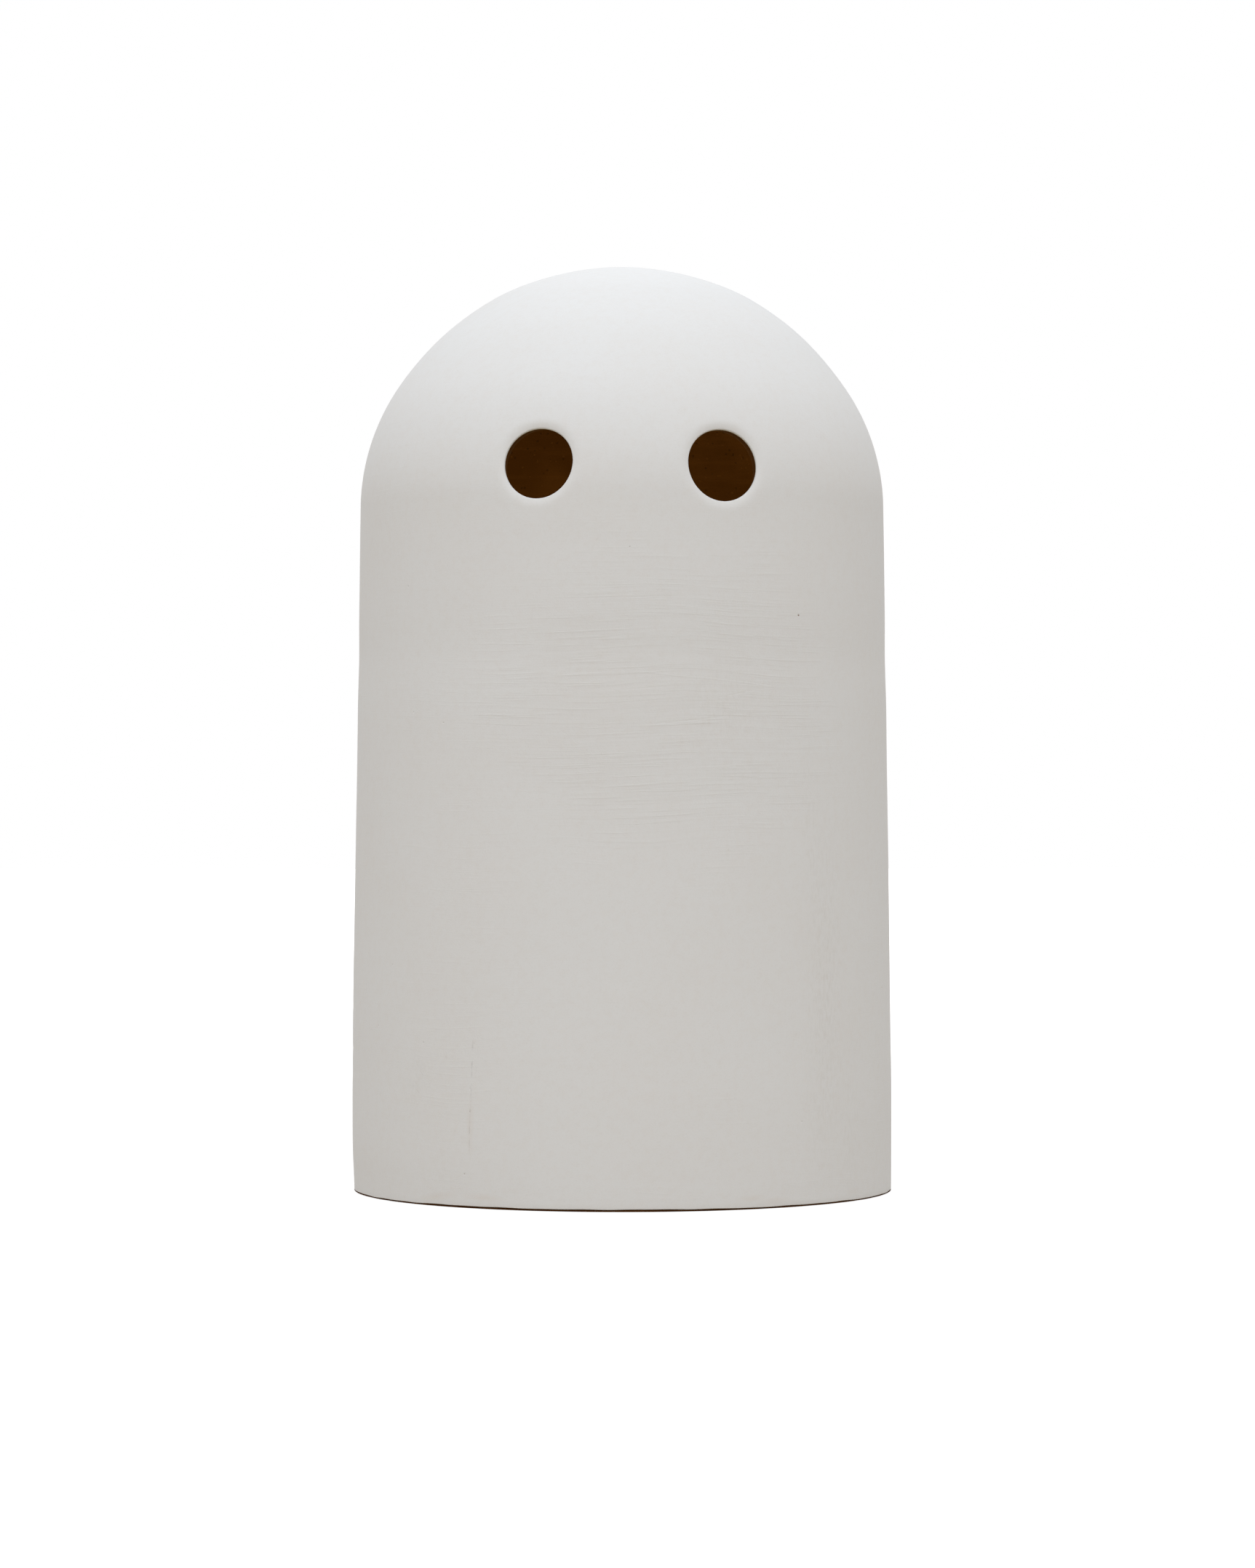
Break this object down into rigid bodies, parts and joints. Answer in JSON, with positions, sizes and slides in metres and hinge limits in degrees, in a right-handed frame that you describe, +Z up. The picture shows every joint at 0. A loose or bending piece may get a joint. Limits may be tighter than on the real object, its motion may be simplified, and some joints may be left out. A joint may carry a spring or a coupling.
{
  "type": "ghost figure",
  "caption": "Hollow ceramic ghost figure: straight round wall, domed top, round eye holes cut through the front, white slip outside and an open flat foot.",
  "frame": {"origin": "on the figure's upright axis, at the level of the surface that it stands on", "axes": "+Z up along the figure's axis, the eyes look along -Y, +X to the right as seen from the front"},
  "size_m": [0.1754, 0.1754, 0.3],
  "materials": {
    "brown_clay": "matte",
    "coil_clay": "matte",
    "white_slip": "matte"
  },
  "bodies": {
    "root": {"dome_cap": "brown_clay", "wall_slab": "brown_clay", "joint_coil": "coil_clay", "seam_coil": "coil_clay", "foot_ring": "coil_clay", "slip_coat": "white_slip"}
  },
  "joints": []
}
